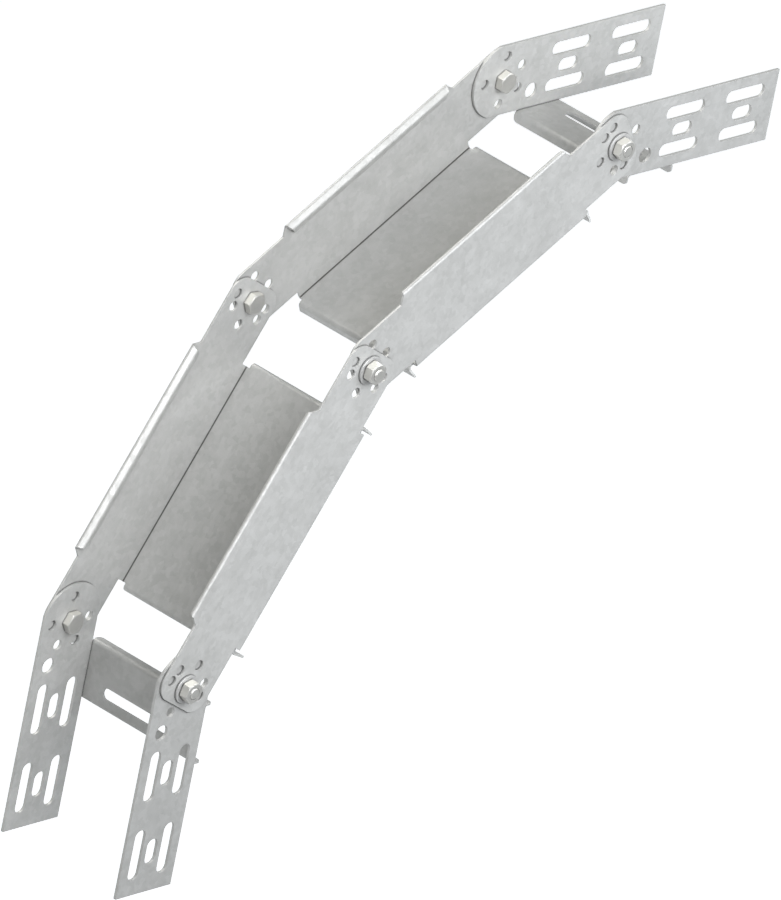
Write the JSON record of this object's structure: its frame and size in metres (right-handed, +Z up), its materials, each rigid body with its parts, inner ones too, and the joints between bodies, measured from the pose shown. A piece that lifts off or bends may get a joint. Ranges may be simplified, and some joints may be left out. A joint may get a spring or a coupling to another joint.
{
  "type": "cable tray riser",
  "caption": "Adjustable cable tray riser: folded channel lengths and slotted end plates hinged together on hexagon bolts, with slotted strips across the plates.",
  "frame": {"origin": "middle of the lower end plates' outer ends, halfway between the two plates", "axes": "+Z up along the lower plates, towards the tray's run; +X along the upper plates, away from the hinges; +Y across the tray, from the near side to the far side"},
  "size_m": [0.4778, 0.1247, 0.4777],
  "materials": {
    "galvanised_sheet": "clean hot-dip galvanised sheet with a fine, soft spangle, matt to satin",
    "zinc_plated_fastener": "bright zinc plating, satin"
  },
  "bodies": {
    "lower_plates": {"lower_plate_near": "galvanised_sheet", "lower_plate_far": "galvanised_sheet", "lower_joint_strip": "galvanised_sheet", "bolt_lower_near": "zinc_plated_fastener", "washer_lower_near": "zinc_plated_fastener", "nut_lower_near": "zinc_plated_fastener", "bolt_lower_far": "zinc_plated_fastener", "washer_lower_far": "zinc_plated_fastener", "nut_lower_far": "zinc_plated_fastener"},
    "lower_channel": {"lower_channel": "galvanised_sheet", "bolt_middle_near": "zinc_plated_fastener", "washer_middle_near": "zinc_plated_fastener", "nut_middle_near": "zinc_plated_fastener", "bolt_middle_far": "zinc_plated_fastener", "washer_middle_far": "zinc_plated_fastener", "nut_middle_far": "zinc_plated_fastener"},
    "upper_channel": {"upper_channel": "galvanised_sheet"},
    "upper_plates": {"upper_plate_near": "galvanised_sheet", "upper_plate_far": "galvanised_sheet", "upper_joint_strip": "galvanised_sheet", "bolt_upper_near": "zinc_plated_fastener", "washer_upper_near": "zinc_plated_fastener", "nut_upper_near": "zinc_plated_fastener", "bolt_upper_far": "zinc_plated_fastener", "washer_upper_far": "zinc_plated_fastener", "nut_upper_far": "zinc_plated_fastener"}
  },
  "joints": [
    {"name": "lower_hinge", "type": "hinge", "parent": "lower_plates", "child": "lower_channel", "pos_m": [0, 0, 0.14245], "axis": [0, 1, 0], "range_deg": [-120, 60]},
    {"name": "middle_hinge", "type": "hinge", "parent": "lower_channel", "child": "upper_channel", "pos_m": [0.11373, 0, 0.33943], "axis": [0, 1, 0], "range_deg": [-120, 45]},
    {"name": "upper_hinge", "type": "hinge", "parent": "upper_channel", "child": "upper_plates", "pos_m": [0.3107, 0, 0.45315], "axis": [0, 1, 0], "range_deg": [-120, 60]}
  ]
}
